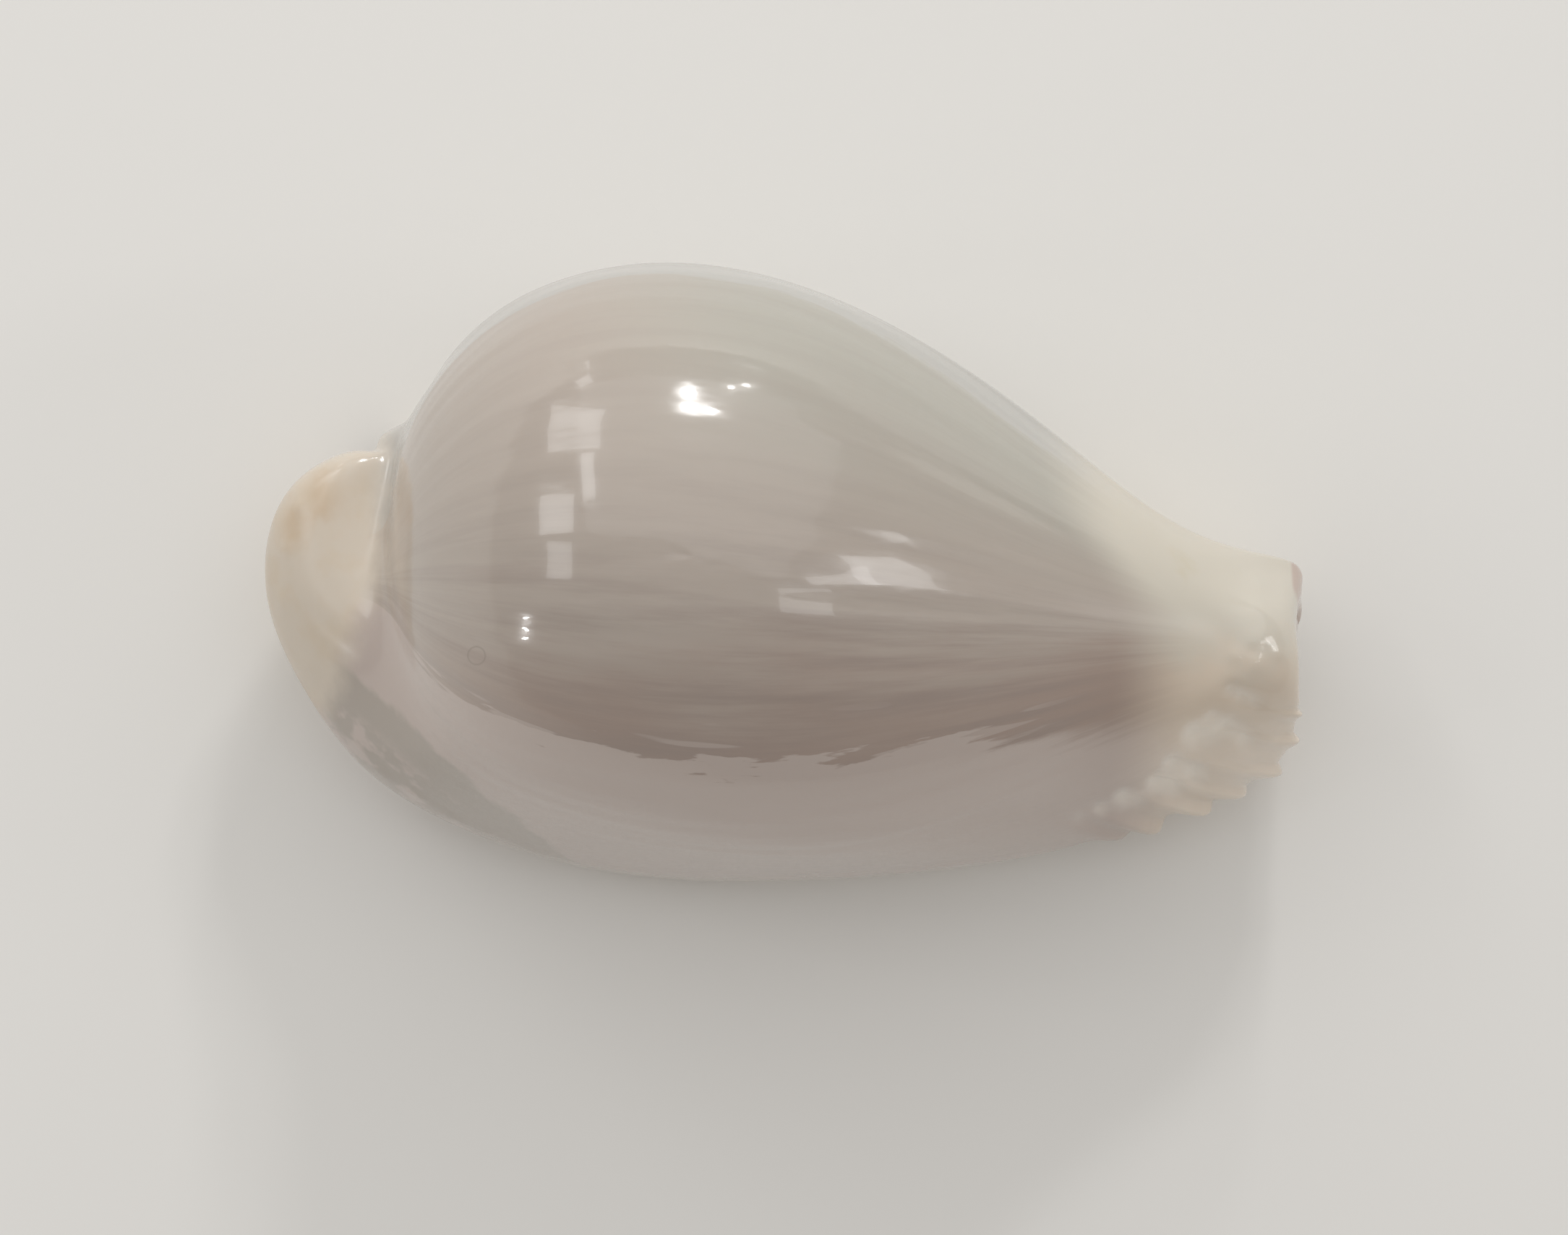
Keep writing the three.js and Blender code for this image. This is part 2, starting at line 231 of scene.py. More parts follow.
@dataclass
class Slit:
    """The slit along the base, from the siphon end to the rear canal."""

    # Place of the middle line and half the gap.
    line: Rows = (
        (46.4, -7.8, 6.6, 1.5),
        (34.0, -9.2, 3.0, 1.7),
        (16.0, -10.2, 1.6, 1.6),
        (-2.0, -9.4, 1.4, 1.4),
        (-18.0, -6.0, 1.8, 1.4),
        (-30.0, 1.4, 3.0, 1.4),
        (-37.2, 10.0, 4.6, 1.3),
    )
    lip_depth: float = 5.0
    # The mouths at its ends: the rise of their roofs, the stations that each arches over, and how
    # far the way in leans away from the end.
    front_arch: float = 8.5
    rear_arch: float = 3.4
    arch_steps: float = 1.6
    mouth_push: float = 0.4
    # How far the inner lip leans out of the front mouth, how soon that fades, and its waves.
    mouth_lean: float = 0.6
    lean_fade: float = 4.0
    lean_wave: float = 0.16
    # The station at the rear end, and how many stations there are.
    rear_station: int = 18
    stations: int = 33
    # The share of its length over which its heading is taken.
    heading_step: float = 0.01
    curve: Curve = field(init=False)

    def __post_init__(self) -> None:
        """Fits the curve through the middle line."""
        self.curve = Curve(self.line, closed=False)

    def past(self, station: np.ndarray) -> tuple[np.ndarray, np.ndarray, np.ndarray]:
        """Measures along the lips from the siphon end.

        Args:
            station: places round the rim, in rim points from the siphon end.

        Returns:
            True on the outer lip, the length of the station's own lip, and how far along that lip
            the station is, both in stations.
        """
        outer = station <= self.rear_station
        length = np.where(outer, self.rear_station, self.stations - self.rear_station)
        return outer, length, np.where(outer, station, self.stations - station)

    def along(self, station: np.ndarray) -> np.ndarray:
        """How far along the slit the lip at a station is, 0 at the siphon end and 1 at the rear."""
        _, length, past = self.past(station)
        return np.clip((past - self.arch_steps) / (length - 2 * self.arch_steps), 0, 1)

    def edge(self, station: np.ndarray) -> tuple[np.ndarray, ...]:
        """The slit's edge.

        Args:
            station: places round the rim, in rim points from the siphon end.

        Returns:
            The edge, the way in from it, the way out to its own side, how far the base is lifted
            to the roof of a mouth, and how far it leans out of the front one.
        """
        outer, length, past = self.past(station)
        front = math.pi / 2 * np.minimum(past / self.arch_steps, 1)
        rear = math.pi / 2 * np.minimum((length - past) / self.arch_steps, 1)
        share = self.along(station)
        last = len(self.line) - 1
        x, y, z, gap = np.moveaxis(self.curve.at(share * last), -1, 0)
        ahead = self.curve.at(np.minimum(share + self.heading_step, 1) * last)
        behind = self.curve.at(np.maximum(share - self.heading_step, 0) * last)
        rearward = ahead[:, :3] - behind[:, :3]
        rearward[:, 2] = 0
        rearward /= np.linalg.norm(rearward, axis=1)[:, None]
        outward = np.stack([-rearward[:, 1], rearward[:, 0], np.zeros(len(x))], 1)
        opening = np.where(outer, 1, -1) * np.sin(front) * np.sin(rear)
        roof = self.front_arch * np.cos(front) + self.rear_arch * np.cos(rear)
        edge = np.stack([x, y, z + roof], 1) + outward * (gap * opening)[:, None]
        lean = self.mouth_lean * np.maximum(-opening, 0) * np.maximum(1 - self.lean_fade * share, 0)
        lean = lean * (1 + self.lean_wave * np.cos(4 * math.pi * station))
        edge[:, 0] += lean
        arch = np.maximum(np.cos(front), np.cos(rear))
        lift = np.cos(front) ** 2 + np.cos(rear) ** 2
        inward = rearward * (self.mouth_push * (np.cos(front) - np.cos(rear)))[:, None]
        inward[:, 2] = opening**2 - roof * (1 - arch) / self.lip_depth
        return edge, inward, outward * opening[:, None], lift, lean


@dataclass
class Surface:
    """The whole skin of the shell: body, rim, base, slit and hollow, as a sheet of meridians.

    A station counts rim points round the shell, and a depth counts control points from the crown
    over the rim and in through the slit to the hollow's top: 1 to 7 are on the body, 8 is the
    bulge, 9 the rim, 10 just under it, 11 the haunch, 12 the sole, 13 the lip, 14 the slit's
    edge, 15 the throat, and the rest the hollow.
    """

    # The rim seen from above, from the siphon end by way of the outer lip: place, angle at which
    # the surface leaves the body, and height of the surface above the rim just inside it.
    rim: Rows = (
        (46.6, -7.4, 18.2, 60, 2.6),
        (46.7, -11.2, 16.4, 60, 3.6),
        (46.8, -14.4, 11.6, 62, 5.6),
        (44.8, -18.2, 8.6, 66, 6.4),
        (38.6, -21.4, 7.2, 70, 7.0),
        (30.4, -24.1, 6.4, 74, 7.8),
        (19.6, -26.5, 6.0, 77, 8.8),
        (6.6, -27.9, 6.0, 78, 9.4),
        (-7.0, -28.2, 6.2, 78, 9.4),
        (-19.6, -26.7, 6.8, 78, 8.8),
        (-30.4, -23.1, 7.8, 75, 7.8),
        (-38.4, -18.1, 9.0, 74, 7.2),
        (-43.6, -11.5, 10.4, 75, 6.4),
        (-47.1, -3.9, 12.0, 78, 6.3),
        (-47.4, 3.2, 13.2, 83, 5.6),
        (-45.0, 8.3, 14.0, 88, 4.8),
        (-41.2, 10.9, 14.4, 91, 3.4),
        (-38.8, 11.4, 13.8, 92, 2.6),
        (-37.6, 11.6, 12.0, 92, 3.6),
        (-37.0, 12.9, 10.8, 90, 3.6),
        (-34.9, 13.9, 10.4, 86, 4.4),
        (-33.4, 15.0, 13.0, 82, 4.4),
        (-30.8, 19.4, 17.6, 78, 3.4),
        (-24.0, 25.1, 20.0, 77, 3.0),
        (-12.6, 28.1, 20.8, 76, 3.0),
        (0.4, 26.4, 20.2, 76, 3.0),
        (13.0, 20.7, 18.6, 76, 2.8),
        (23.6, 13.5, 16.8, 74, 2.6),
        (32.4, 6.7, 14.8, 70, 2.6),
        (39.6, 2.9, 13.2, 66, 2.8),
        (45.3, 1.6, 11.6, 62, 3.4),
        (47.3, 0.1, 11.0, 60, 5.0),
        (46.5, -3.4, 16.2, 60, 3.8),
    )
    # How many times the turns of the meridians are evened out.
    even_rounds: int = 3
    # The outer lip's teeth at the siphon end: station and reach.
    denticles: Rows = (
        (1.51, 0.55),
        (2.24, 0.75),
        (2.97, 1.05),
        (3.56, 1.0),
        (4.02, 1.2),
        (4.59, 1.3),
        (4.95, 0.85),
    )
    # A tooth's width ahead of its tip and behind it, the stations between which the rim is drawn
    # in between teeth and by how much, and the place that the teeth point away from.
    denticle_front: float = 0.09
    denticle_rear: float = 0.19
    denticle_ends: Row = (1.1, 1.7, 4.9, 5.6)
    denticle_draw: float = 0.4
    denticle_root: tuple[float, float] = (30.0, -8.0)
    # Steps down the body, and how far from its foot to the rim the bulge lies.
    body_steps: int = 6
    bulge_share: float = 0.66
    # The base from the rim to the slit: how far towards the slit each line lies, and how far down
    # towards the base's own level.
    under_inset: float = 1.9
    under_share: float = 0.16
    under_drop: float = 0.48
    under_lean: float = 0.5
    haunch_share: float = 0.25
    haunch_drop: float = 0.84
    sole_share: float = 0.58
    lip_inset: float = 1.4
    lip_share: float = 0.25
    lip_drop: float = 0.7
    throat_spread: float = 0.6
    # The base's level, how fast it rises, and the middle and half the length of its flat.
    base_sink: float = -1.2
    base_curve: float = 0.0105
    flat_middle: float = -2.0
    flat_half: float = 20.0
    # The hollow: rows over its dome, rows from the throat to its wall, how square they turn there,
    # and how low its floor hangs below the throat.
    hollow_steps: int = 5
    hollow_spots: int = 2
    hollow_square: float = 0.72
    hollow_sag: float = 1.5
    # Where the sheet's columns and rows lie: up to a station or depth, and how many by then.
    columns: Rows = ((0.0, 0), (1.2, 14), (5.4, 160), (33.0, 450))
    rows: Rows = ((1.0, 0), (7.0, 66), (10.2, 120), (13.0, 158), (16.0, 192), (23.0, 214))
    body: Body = field(default_factory=Body)
    slit: Slit = field(default_factory=Slit)
    curve: Curve = field(init=False)
    turns: Curve = field(init=False)

    def __post_init__(self) -> None:
        """Fits the rim's curve and evens out the turns of its meridians."""
        self.curve = Curve(self.rim, closed=True)
        places = np.array(self.rim)
        even = -2 * math.pi * np.arange(len(places)) / len(places)
        past = self.body.turn_of(places[:, 0], places[:, 1]) - even
        past = np.arctan2(np.sin(past), np.cos(past))
        for _ in range(self.even_rounds):
            past = past / 2 + (np.roll(past, 1) + np.roll(past, -1)) / 4
        self.turns = Curve(tuple((float(turn),) for turn in past), closed=True)
        # The curve through the turns isn't moved out to meet them: evened turns stay even.
        self.turns.rows = past[:, None]

    def base_level(self, x: np.ndarray) -> np.ndarray:
        """Height of the base, flat in the middle and rising to both ends."""
        past = np.maximum(np.abs(x - self.flat_middle) - self.flat_half, 0)
        return self.base_sink + past**2 * self.base_curve

    def controls(self, station: np.ndarray) -> np.ndarray:
        """The control points of the meridians.

        Args:
            station: the meridians' places round the rim.

        Returns:
            Control points, by meridian, then from the crown inwards, then x, y and z.
        """
        x, y, z, leave, crest = np.moveaxis(self.curve.at(station), -1, 0)
        plain = np.stack([x, y, z], 1)
        outward = plain - np.array([*self.denticle_root, 0.0])
        outward[:, 2] = 0
        outward /= np.linalg.norm(outward, axis=1)[:, None]
        rim = plain + outward * self.teeth_reach(station)[:, None]
        even = -2 * math.pi * station / len(self.rim)
        past = self.turns.at(station)[:, 0]
        back = []
        for k in range(-2, self.body_steps + 2):
            down = k / self.body_steps
            back.append(self.body.point(even + past * down**2, np.radians(leave * down)))
        points = self.pushed_out(back)
        edge, inward, outward, lift, lean = self.slit.edge(station)

        def level(at: np.ndarray) -> np.ndarray:
            """Height of the base at places along the shell, lifted to the roof of a mouth."""
            low = np.minimum(self.base_level(at), edge[:, 2])
            return low + (edge[:, 2] - low) * lift

        to_slit = edge - rim
        to_slit[:, 2] = 0
        length = np.linalg.norm(to_slit, axis=1)
        # The bulge is taken from the rim without its teeth, so that they make no folds above it.
        bulge = points[-1] + (plain - points[-1]) * self.bulge_share
        bulge[:, 2] = z + crest
        floor = level(x)
        under = rim + to_slit * np.minimum(self.under_inset / length, self.under_share)[:, None]
        under[:, 2] = z + (floor - z) * self.under_drop
        haunch = rim + to_slit * self.haunch_share
        haunch[:, 2] = z + (floor - z) * self.haunch_drop
        sole = rim + to_slit * self.sole_share
        sole[:, 2] = level(sole[:, 0])
        lip = edge - to_slit * np.minimum(self.lip_inset / length, self.lip_share)[:, None]
        lip[:, 2] = edge[:, 2] + (sole[:, 2] - edge[:, 2]) * self.lip_drop
        under[:, 0] += lean * self.under_lean
        haunch[:, 0] += lean
        sole[:, 0] += lean
        # The control point that takes the smooth curve through the rim itself.
        corner = (rim * 6 - bulge - under) / 4
        throat = edge + inward * self.slit.lip_depth + outward * self.throat_spread
        points += [bulge, corner, under, haunch, sole, lip, edge, throat]
        wall = self.body.point(even + past, np.full(len(station), math.pi / 2), inside=True)
        for k in range(1, self.hollow_spots + 1):
            angle = math.pi / 2 * (1 - k / (self.hollow_spots + 1))
            spot = throat + (wall - throat) * math.cos(angle) ** self.hollow_square
            share = math.sin(angle) ** self.hollow_square
            drop = throat[:, 2] - self.hollow_sag * (1 - lift) - wall[:, 2]
            spot[:, 2] = wall[:, 2] + drop * share
            points.append(spot)
        roof = []
        for k in range(self.hollow_steps + 1, -3, -1):
            down = k / self.hollow_steps
            fall = np.full(len(station), math.pi / 2 * down)
            roof.append(self.body.point(even + past * down**2, fall, inside=True))
        return np.stack(points + self.pushed_out(roof), 1)

    def teeth_reach(self, station: np.ndarray) -> np.ndarray:
        """Works out the outer lip's teeth.

        Args:
            station: places round the rim.

        Returns:
            How far the rim stands out at each station, less than 0 between the teeth.
        """
        reach = -self.denticle_draw * within(station, self.denticle_ends)
        for place, out in self.denticles:
            width = np.where(station < place, self.denticle_front, self.denticle_rear)
            reach = reach + out * bump_at(station, place, width)
        return reach

    @staticmethod
    def pushed_out(points: list[np.ndarray]) -> list[np.ndarray]:
        """The inner points of a row, moved so that the smooth curve passes where they stood."""
        inner = zip(points, points[1:], points[2:])
        return [point - (before + after - 2 * point) / 6 for before, point, after in inner]

    @staticmethod
    def spaced(bands: Rows) -> np.ndarray:
        """Places from a list of bands, with each band's share of the steps inside it."""
        ends, counts = np.array(bands).T
        return np.interp(np.arange(int(counts[-1]) + 1), counts, ends)

    def sheet(self) -> tuple[np.ndarray, np.ndarray, np.ndarray]:
        """Works out the whole sheet.

        Returns:
            Stations of the columns, depths of the rows, and places by row, column and axis.
        """
        station = self.spaced(self.columns)
        depth = self.spaced(self.rows)
        points = self.controls(station % len(self.rim))
        start = np.minimum(np.floor(depth).astype(int), points.shape[1] - 3)
        place = 0.0
        for step, weight in enumerate(spline_weights((depth - start)[:, None, None])):
            place = place + weight * points[:, start + step - 1].transpose(1, 0, 2)
        place[:, -1] = place[:, 0]
        for row in (0, -1):
            place[row] = place[row, :-1].mean(0)
        return station, depth, place


@dataclass
class Relief:
    """The fine shapes on the skin, in millimetres along its outward direction."""

    # Teeth across the slit: how many and how high on the outer lip and on the inner one, how deep
    # the troughs between them go, and the depths and the shares of the slit between which they lie.
    labial_teeth: int = 30
    labial_height: float = 0.5
    labial_reach: Row = (11.9, 13.0, 14.6, 15.4)
    inner_teeth: int = 24
    inner_height: float = 0.35
    inner_reach: Row = (12.6, 13.4, 14.8, 15.6)
    trough: float = -0.35
    teeth_ends: Row = (0.0, 0.04, 0.96, 1.0)
    # The callus ridge just inside the outer lip's teeth: its swells, and the dimples above it.
    # Place x and y, reach and height.
    swells: Rows = (
        (42.6, -11.6, 2.2, 0.3),
        (40.6, -14.2, 2.3, 0.4),
        (38.0, -16.6, 2.3, 0.4),
        (35.4, -18.7, 2.2, 0.5),
        (32.2, -20.4, 2.1, 0.4),
        (28.6, -21.8, 2.0, 0.3),
        (43.1, -0.8, 1.0, -0.12),
        (43.0, -3.2, 1.1, -0.14),
        (42.8, -5.8, 1.1, -0.14),
        (42.7, -8.1, 1.0, -0.16),
        (40.9, -7.3, 0.8, -0.12),
        (44.9, -7.2, 0.6, -0.1),
    )
    # The knobs on it, each with thick pale callus; its map also lays a painted highlight on them.
    knobs: Rows = (
        (37.6, -14.8, 1.3, 0.6),
        (39.2, -15.2, 1.1, 0.4),
        (40.8, -14.4, 1.1, 0.6),
        (42.4, -15.2, 1.0, 0.5),
        (39.1, -13.2, 0.9, 0.3),
        (35.7, -17.6, 1.0, 0.5),
        (37.8, -18.6, 1.1, 0.6),
        (34.2, -19.5, 1.0, 0.6),
        (35.9, -19.7, 0.9, 0.5),
        (31.1, -20.8, 1.0, 0.5),
        (32.6, -21.0, 0.8, 0.3),
        (29.1, -21.8, 0.9, 0.35),
        (27.0, -22.4, 0.9, 0.2),
        (40.7, -10.6, 0.8, 0.35),
        (41.8, -11.3, 0.8, 0.4),
        (43.0, -11.9, 0.8, 0.35),
    )
    # Depths over which swells and knobs end at the rim.
    over_rim: Span = (9.4, 8.9)
    # Shallow pits in the margin: station, depth, depth of the pit in millimetres, width.
    pits: Rows = (
        (6.2, 8.35, 0.12, 0.1),
        (6.6, 8.45, 0.14, 0.09),
        (7.0, 8.4, 0.12, 0.11),
        (7.5, 8.5, 0.1, 0.09),
        (8.6, 8.5, 0.1, 0.1),
        (9.3, 8.55, 0.12, 0.1),
        (9.7, 8.45, 0.13, 0.09),
        (10.1, 8.5, 0.13, 0.1),
        (10.5, 8.4, 0.14, 0.1),
        (10.9, 8.5, 0.14, 0.11),
        (11.3, 8.4, 0.13, 0.1),
        (11.8, 8.5, 0.14, 0.12),
        (12.4, 8.4, 0.12, 0.12),
        (13.2, 8.5, 0.12, 0.14),
        (13.9, 8.4, 0.12, 0.13),
        (14.6, 8.35, 0.14, 0.13),
    )
    pit_length: float = 0.13
    # Growth ripples about the axis: how many in a full turn, twist to a millimetre, start and
    # share; then their height, the depths between which they lie, and how near the axis they fade.
    ripples: Rows = ((31, 0.05, 0.0, 1.0), (53, -0.07, 1.0, 0.7), (17, 0.11, 2.2, 0.5))
    ripple_height: float = 0.02
    ripple_ends: Row = (1.0, 1.6, 6.5, 8.0)
    ripple_spread: Span = (8.0, 20.0)

    def outward(self, place: np.ndarray) -> np.ndarray:
        """Finds the outward direction of a sheet whose first and last columns meet.

        Args:
            place: places by row, column and axis.

        Returns:
            Directions of length 1 by row, column and axis.
        """
        ring = np.concatenate([place[:, -2:-1], place, place[:, 1:2]], 1)
        across = ring[:, 2:] - ring[:, :-2]
        down = np.gradient(place, axis=0)
        made = np.cross(down, across)
        length = np.linalg.norm(made, axis=2, keepdims=True)
        made = made / np.maximum(length, 1e-12)
        for row, near in ((0, 1), (-1, -2)):
            made[row] = made[near, :-1].mean(0)
        return made

    def teeth(self, station: np.ndarray, depth: np.ndarray, slit: Slit) -> np.ndarray:
        """Ridges across both lips of the slit.

        Args:
            station: stations, one for each column.
            depth: depths, one for each row.
            slit: the slit between the lips.

        Returns:
            Heights by row and column.
        """
        along = slit.along(station)[None]
        lips = []
        for count, height, reach in (
            (self.labial_teeth, self.labial_height, self.labial_reach),
            (self.inner_teeth, self.inner_height, self.inner_reach),
        ):
            ridges = np.maximum(np.cos(2 * math.pi * count * along), self.trough)
            lips.append(height * ridges * within(depth[:, None], reach))
        outer = (station <= slit.rear_station)[None]
        return within(along, self.teeth_ends) * np.where(outer, *lips)

    def margin(
        self, station: np.ndarray, depth: np.ndarray, place: np.ndarray
    ) -> tuple[np.ndarray, np.ndarray]:
        """The knobs and ribs at the siphon end, and the pits of the margin.

        Args:
            station: stations, one for each column.
            depth: depths, one for each row.
            place: the plain skin's places by row, column and axis.

        Returns:
            Heights, and how thick the knobs' callus is beside the thickest, by row and column.
        """
        across, down = station[None], depth[:, None]
        knobs = np.zeros((len(depth), len(station)))
        height = knobs.copy()
        above = smoothly(down, *self.over_rim)
        for part, rows in ((height, self.swells), (knobs, self.knobs)):
            for x, y, reach, rise in rows:
                gap = np.hypot(place[..., 0] - x, place[..., 1] - y)
                part += rise * bump_at(gap, 0.0, reach) * above
        height += knobs
        for at, deep, rise, width in self.pits:
            height -= rise * bump_at(across, at, width) * bump_at(down, deep, self.pit_length)
        return height, knobs / max(rise for *_, rise in self.knobs)

    def growth(self, place: np.ndarray, depth: np.ndarray) -> np.ndarray:
        """Faint growth ripples that run the length of the back.

        Args:
            place: the plain skin's places by row, column and axis.
            depth: depths, one for each row.

        Returns:
            Heights by row and column.
        """
        x = place[..., 0]
        side, up = place[..., 1] + AXIS_ASIDE + AXIS_SLOPE * x, place[..., 2] - AXIS_UP
        around = np.arctan2(side, up)
        waves = 0.0
        for count, twist, start, share in self.ripples:
            waves = waves + share * np.sin(count * around + twist * x + start)
        keep = within(depth, self.ripple_ends)[:, None]
        spread = smoothly(np.hypot(side, up), *self.ripple_spread)
        return self.ripple_height * waves * keep * spread

    def dress(self, surface: Surface) -> tuple[np.ndarray, np.ndarray]:
        """Adds the relief to a surface.

        Args:
            surface: the plain skin.

        Returns:
            Places by row, column and axis, and the knobs' callus thickness by row and column.
        """
        station, depth, place = surface.sheet()
        height = self.teeth(station, depth, surface.slit)
        margin, callus = self.margin(station, depth, place)
        height += margin + self.growth(place, depth)
        made = place + self.outward(place) * height[..., None]
        made[:, -1] = made[:, 0]
        # The base rests on the floor, and nothing of it reaches lower.
        made[..., 2] = np.maximum(made[..., 2], 0)
        return made, callus


def add_node(
    tree: bpy.types.NodeTree,
    kind: str,
    links: dict[int | str, Input] | Sequence[Input] = (),
    output: int | str = 0,
    **settings: object,
) -> Socket | None:
    """Adds a node with its settings and links.

    Args:
        tree: the node tree.
        kind: the node's type without "ShaderNode".
        links: outputs to link or values to set, in the order of the inputs, or by input.
        output: which of the node's outputs is wanted.
        settings: the node's own settings.

    Returns:
        The wanted output, or None for a node without outputs.
    """
    node = tree.nodes.new("ShaderNode" + kind)
    for name, value in settings.items():
        setattr(node, name, value)
    for name, value in (links if isinstance(links, dict) else dict(enumerate(links))).items():
        if isinstance(value, Socket):
            tree.links.new(value, node.inputs[name])
        else:
            node.inputs[name].default_value = value
    return node.outputs[output] if len(node.outputs) else None


# The settings that most of the nodes share.
PLUS = {"operation": "ADD"}
MINUS = {"operation": "SUBTRACT"}
TIMES = {"operation": "MULTIPLY"}
TIMES_PLUS = {"operation": "MULTIPLY_ADD"}
LARGER = {"operation": "MAXIMUM"}
GAP = {"operation": "DISTANCE", "output": 1}
STEP = {"interpolation_type": "SMOOTHSTEP"}


@dataclass(frozen=True)
class Grain:
    """A noise drawn out along the growth lines. Its grain's length and width are millimetres."""

    length: float
    width: float
    seed: float = 0.0
    detail: float = 2.0
    roughness: float = 0.5


@dataclass(frozen=True)
class Cloud:
    """A ragged cloud of another tint on the enamel: its place and reach in millimetres."""

    at: tuple[float, float, float]
    reach: float


@dataclass(frozen=True)
class Enamel:
    """Aragonite enamel, laid in thin layers by the mantle and never polished.

    It looks like glazed porcelain: a wet gloss over a faintly clear body, with soft growth streaks
    along the back. A zone's two numbers say where it begins and where it is full. They are
    millimetres, or for a turn radians about the growth axis, 0 at the crown and less than 0
    towards the outer lip, or for a tone the value of a noise.
    """

    name: str = "aragonite_enamel"
    back: str = "bcb0a5"
    back_high: str = "b8b4a9"
    back_band: str = "ae9a8e"
    margin: str = "c7b8af"
    cream: str = "dcd0c0"
    peach: str = "cfb594"
    ivory: str = "d8d1c3"
    # Lightened with painted light, standing in for light on the siphon end's downward side.
    tan: str = "e0d0bd"
    base: str = "e6ddd2"
    fawn: str = "d9c7ae"
    # The teeth's cream, lightened with painted light on the siphon end's downward side.
    teeth: str = "ecdfd0"
    # The knobs' pale callus with a painted highlight in place of their glints and shading.
    knob: str = "f8efe2"
    lip: str = "b2a79c"
    mouth: str = "c6b2a6"
    streak: str = "a0928a"
    # Partly painted reflection: the grazing rim's sheen on the columella side.
    shoulder: str = "bfbdb8"
    yellow: str = "cfc29c"
    scuff: str = "8f8378"

    # The back's mean radius, by which a turn is brought to millimetres.
    back_radius: float = 27.0
    # Growth streaks, their wide tones, the edge of the callus, its islands, and its waves.
    streaks: Grain = Grain(30.0, 2.4, detail=5.0, roughness=0.62)
    tones: Grain = Grain(22.0, 9.0, detail=3.0)
    ragged: Grain = Grain(9.0, 2.0, seed=4.0, detail=4.0, roughness=0.6)
    islands: Grain = Grain(14.0, 1.8, seed=9.0, detail=1.0)
    waves: Grain = Grain(6.0, 2.5, seed=2.0)
    # Clouds about 4 mm across, 240 to the metre, and how far they shift the edges of zones.
    cloud_scale: float = 240.0
    cloud_detail: float = 3.0
    cloud_roughness: float = 0.55
    cloud_shift: float = 6.0

    # The back: pale and greyish high on the columella side, darker towards the outer lip.
    high_turn: Span = (0.25, 1.1)
    high_tone: float = 0.25
    high_along: Span = (-24.0, -2.0)
    band_turn: Span = (0.05, -0.5)
    band_tones: tuple[float, float, float] = (0.7, 0.5, 0.6)
    band_along: Span = (-36.0, -20.0)
    band_rear: float = 0.3
    streak_tone: Span = (0.4, 0.68)
    streak_turn: Span = (0.5, -0.2)
    streak_along: Span = (37.0, 24.0)
    streak_share: float = 0.35
    streak_least: float = 0.35

    # The newest callus over the outer side. Its edge is crisp, but softer and lower ahead.
    ragged_spread: Span = (3.0, 16.0)
    ragged_share: float = 0.5
    callus_turn: float = -0.53
    callus_soft: float = 0.03
    ahead: Span = (14.0, 36.0)
    ahead_turn: float = 0.22
    ahead_soft: float = 0.4
    # Small islands of it lie ahead of its edge.
    island_tone: Span = (0.62, 0.66)
    island_turn: Span = (-0.3, -0.46)
    island_spread: Span = (12.0, 18.0)
    island_share: float = 0.6
    # The columella side's callus is paler, with a crisp edge high on the side. Its pale band is
    # partly the callus's own tone and partly a painted reflection of the grazing rim.
    shoulder_turn: Span = (1.17, 1.2)
    shoulder_ragged: float = 0.16
    shoulder_share: float = 0.8

    # The rear flange, cream with two peach clouds.
    fawn_tone: Span = (0.45, 0.7)
    fawn_share: float = 0.4
    peach_clouds: tuple[Cloud, ...] = (
        Cloud((-42.4, 7.1, 17.0), 3.6),
        Cloud((-44.6, 4.6, 16.0), 3.4),
    )
    peach_share: float = 0.6
    flange_along: Span = (-34.9, -38.4)
    flange_slope: float = 0.43
    flange_ragged: float = 0.5
    # Beyond the flange the outer lip is greyer behind a crisp slanting line, with clear blotches.
    lip_slant: tuple[float, float, float] = (0.66, 0.75, 0.35)
    lip_line: Span = (-32.4, -33.1)
    lip_height: Span = (5.0, 12.0)
    blotch_tone: Span = (0.48, 0.6)
    blotch_line: Span = (-34.6, -36.2)

    # The siphon end, ivory above and tan towards the outer lip. The tan and the teeth's cream carry
    # painted light on this downward side, and the knobs a painted highlight over their pale callus.
    beak_along: Span = (28.0, 36.5)
    beak_high: float = 7.0
    beak_streaks: float = 2.0
    tan_side: Span = (-4.0, -11.0)
    teeth_side: Span = (-12.5, -17.5)
    teeth_share: float = 0.85
    knob_thick: Span = (0.05, 1.0)
    knob_share: float = 0.6
    yellow_clouds: tuple[Cloud, ...] = (
        Cloud((32.4, 4.0, 19.5), 1.6),
        Cloud((35.4, -0.3, 21.0), 2.6),
    )
    yellow_share: float = 0.5
    # The inner lip's face in the mouth of the siphon canal.
    mouth_along: Span = (46.3, 46.7)
    mouth_height: Span = (15.0, 13.5)
    mouth_side: Span = (-8.0, -7.0)

    # A round scuff on the back.
    scuff_at: tuple[float, float, float] = (-27.5, -7.3, 0.0)
    scuff_radius: float = 0.8
    scuff_width: Span = (0.14, 0.0)
    scuff_height: Span = (18.0, 20.0)
    scuff_share: float = 0.45
    # The base, paler all over.
    base_height: Span = (6.0, 1.0)

    # The glaze is satin on the flange and at the siphon end, and like glass on the back.
    satin_flange: Span = (11.5, 7.5)
    satin_along: Span = (22.0, 34.0)
    satin_tip: Span = (42.5, 39.5)
    satin_knob: Span = (0.45, 0.1)
    # On glass, and what satin adds to it.
    roughness: Span = (0.16, 0.11)
    specular: Span = (0.5, -0.25)
    coat: Span = (0.6, -0.45)
    coat_roughness: Span = (0.03, 0.2)
